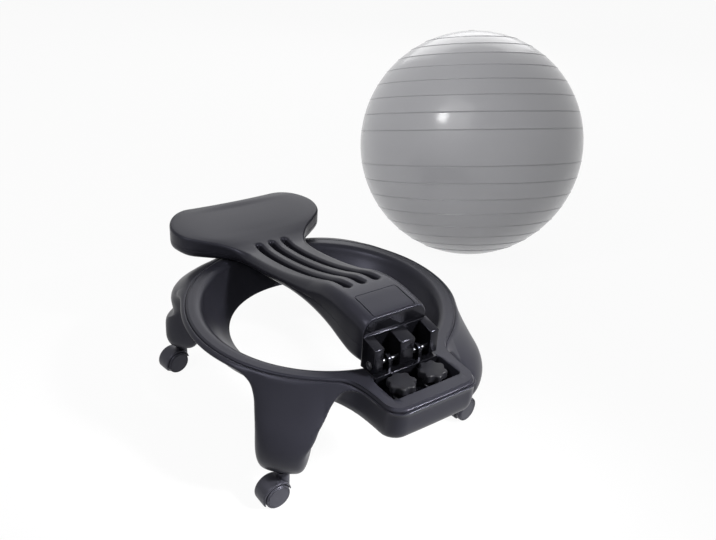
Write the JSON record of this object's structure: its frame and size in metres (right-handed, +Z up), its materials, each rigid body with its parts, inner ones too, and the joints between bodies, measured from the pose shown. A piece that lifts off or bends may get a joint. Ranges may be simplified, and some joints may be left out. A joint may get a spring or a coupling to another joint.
{
  "type": "balance ball chair",
  "caption": "Ball chair: round seat ring on caster legs, folding backrest on a pin at a rear box with star knobs, and a loose inflatable ball beside it.",
  "frame": {"origin": "on the floor, in the middle of the outline of the chair and the loose ball together", "axes": "+Z up, +Y towards the box and the knobs at the back of the seat ring, +X from the ball towards the chair"},
  "size_m": [1.2102, 0.9754, 0.5575],
  "materials": {
    "satin_black": "satin moulded plastic",
    "gloss_black": "glossy moulded plastic",
    "caster_black": "smooth moulded plastic",
    "steel": "plated steel",
    "brass": "turned brass",
    "ball_grey": "satin soft vinyl",
    "plug_white": "soft vinyl"
  },
  "bodies": {
    "base": {"base_frame": "satin_black", "hinge_bracket": "gloss_black", "hinge_pin": "steel", "pin_clip_left": "steel", "pin_clip_right": "steel", "knob_washer_left": "steel", "knob_washer_right": "steel", "threaded_insert_left": "brass", "threaded_insert_right": "brass", "caster_1_socket": "caster_black", "caster_2_socket": "caster_black", "caster_3_socket": "caster_black", "caster_4_socket": "caster_black"},
    "backrest": {"backrest_rear_shell": "satin_black", "backrest_front_shell": "satin_black", "backrest_foot": "gloss_black", "foot_screw_1": "steel", "foot_screw_2": "steel", "shell_screw_1": "steel", "shell_screw_2": "steel", "shell_screw_3": "steel", "shell_screw_4": "steel"},
    "knob_left_turning": {"knob_left": "gloss_black", "knob_stud_left": "steel"},
    "knob_right_turning": {"knob_right": "gloss_black", "knob_stud_right": "steel"},
    "ball": {"ball_shell": "ball_grey"},
    "ball_valve_plug": {"ball_plug": "plug_white"},
    "caster_1_fork": {"caster_1_stem": "steel", "caster_1_hood": "caster_black", "caster_1_axle": "steel"},
    "caster_1_wheel_left_rolling": {"caster_1_wheel_left": "caster_black"},
    "caster_1_wheel_right_rolling": {"caster_1_wheel_right": "caster_black"},
    "caster_2_fork": {"caster_2_stem": "steel", "caster_2_hood": "caster_black", "caster_2_axle": "steel"},
    "caster_2_wheel_left_rolling": {"caster_2_wheel_left": "caster_black"},
    "caster_2_wheel_right_rolling": {"caster_2_wheel_right": "caster_black"},
    "caster_3_fork": {"caster_3_stem": "steel", "caster_3_hood": "caster_black", "caster_3_axle": "steel"},
    "caster_3_wheel_left_rolling": {"caster_3_wheel_left": "caster_black"},
    "caster_3_wheel_right_rolling": {"caster_3_wheel_right": "caster_black"},
    "caster_4_fork": {"caster_4_stem": "steel", "caster_4_hood": "caster_black", "caster_4_axle": "steel"},
    "caster_4_wheel_left_rolling": {"caster_4_wheel_left": "caster_black"},
    "caster_4_wheel_right_rolling": {"caster_4_wheel_right": "caster_black"}
  },
  "joints": [
    {"name": "backrest_fold", "type": "hinge", "parent": "base", "child": "backrest", "pos_m": [0.36457, 0.39107, 0.234], "axis": [-1, 0, 0], "range_deg": [0, 90]},
    {"name": "knob_left_turn", "type": "hinge", "parent": "base", "child": "knob_left_turning", "pos_m": [0.39407, 0.43057, 0.21], "axis": [0, 0, 1], "continuous": true},
    {"name": "knob_right_turn", "type": "hinge", "parent": "base", "child": "knob_right_turning", "pos_m": [0.33507, 0.43057, 0.21], "axis": [0, 0, 1], "continuous": true},
    {"name": "caster_1_swivel", "type": "hinge", "parent": "base", "child": "caster_1_fork", "pos_m": [0.54425, 0.35001, 0.07], "axis": [0, 0, 1], "continuous": true},
    {"name": "caster_1_roll_left", "type": "hinge", "parent": "caster_1_fork", "child": "caster_1_wheel_left_rolling", "pos_m": [0.56224, 0.35064, 0.021], "axis": [0.0349, -0.9994, 0], "continuous": true},
    {"name": "caster_1_roll_right", "type": "hinge", "parent": "caster_1_fork", "child": "caster_1_wheel_right_rolling", "pos_m": [0.56224, 0.35064, 0.021], "axis": [0.0349, -0.9994, 0], "continuous": true},
    {"name": "caster_2_swivel", "type": "hinge", "parent": "base", "child": "caster_2_fork", "pos_m": [0.18489, 0.35001, 0.07], "axis": [0, 0, 1], "continuous": true},
    {"name": "caster_2_roll_left", "type": "hinge", "parent": "caster_2_fork", "child": "caster_2_wheel_left_rolling", "pos_m": [0.16702, 0.34782, 0.021], "axis": [-0.1219, 0.9925, 0], "continuous": true},
    {"name": "caster_2_roll_right", "type": "hinge", "parent": "caster_2_fork", "child": "caster_2_wheel_right_rolling", "pos_m": [0.16702, 0.34782, 0.021], "axis": [-0.1219, 0.9925, 0], "continuous": true},
    {"name": "caster_3_swivel", "type": "hinge", "parent": "base", "child": "caster_3_fork", "pos_m": [0.19065, -0.05036, 0.07], "axis": [0, 0, 1], "continuous": true},
    {"name": "caster_3_roll_left", "type": "hinge", "parent": "caster_3_fork", "child": "caster_3_wheel_left_rolling", "pos_m": [0.17278, -0.05256, 0.021], "axis": [-0.1219, 0.9925, 0], "continuous": true},
    {"name": "caster_3_roll_right", "type": "hinge", "parent": "caster_3_fork", "child": "caster_3_wheel_right_rolling", "pos_m": [0.17278, -0.05256, 0.021], "axis": [-0.1219, 0.9925, 0], "continuous": true},
    {"name": "caster_4_swivel", "type": "hinge", "parent": "base", "child": "caster_4_fork", "pos_m": [0.53849, -0.05036, 0.07], "axis": [0, 0, 1], "continuous": true},
    {"name": "caster_4_roll_left", "type": "hinge", "parent": "caster_4_fork", "child": "caster_4_wheel_left_rolling", "pos_m": [0.55622, -0.04724, 0.021], "axis": [0.1736, -0.9848, 0], "continuous": true},
    {"name": "caster_4_roll_right", "type": "hinge", "parent": "caster_4_fork", "child": "caster_4_wheel_right_rolling", "pos_m": [0.55622, -0.04724, 0.021], "axis": [0.1736, -0.9848, 0], "continuous": true},
    {"name": "ball_lift", "type": "slide", "parent": "base", "child": "ball", "axis": [0, 0, 1], "range_m": [0, 0.5]},
    {"name": "plug_pull", "type": "slide", "parent": "ball", "child": "ball_valve_plug", "axis": [-0.1111, -0.2872, 0.9514], "range_m": [0, 0.03]}
  ]
}
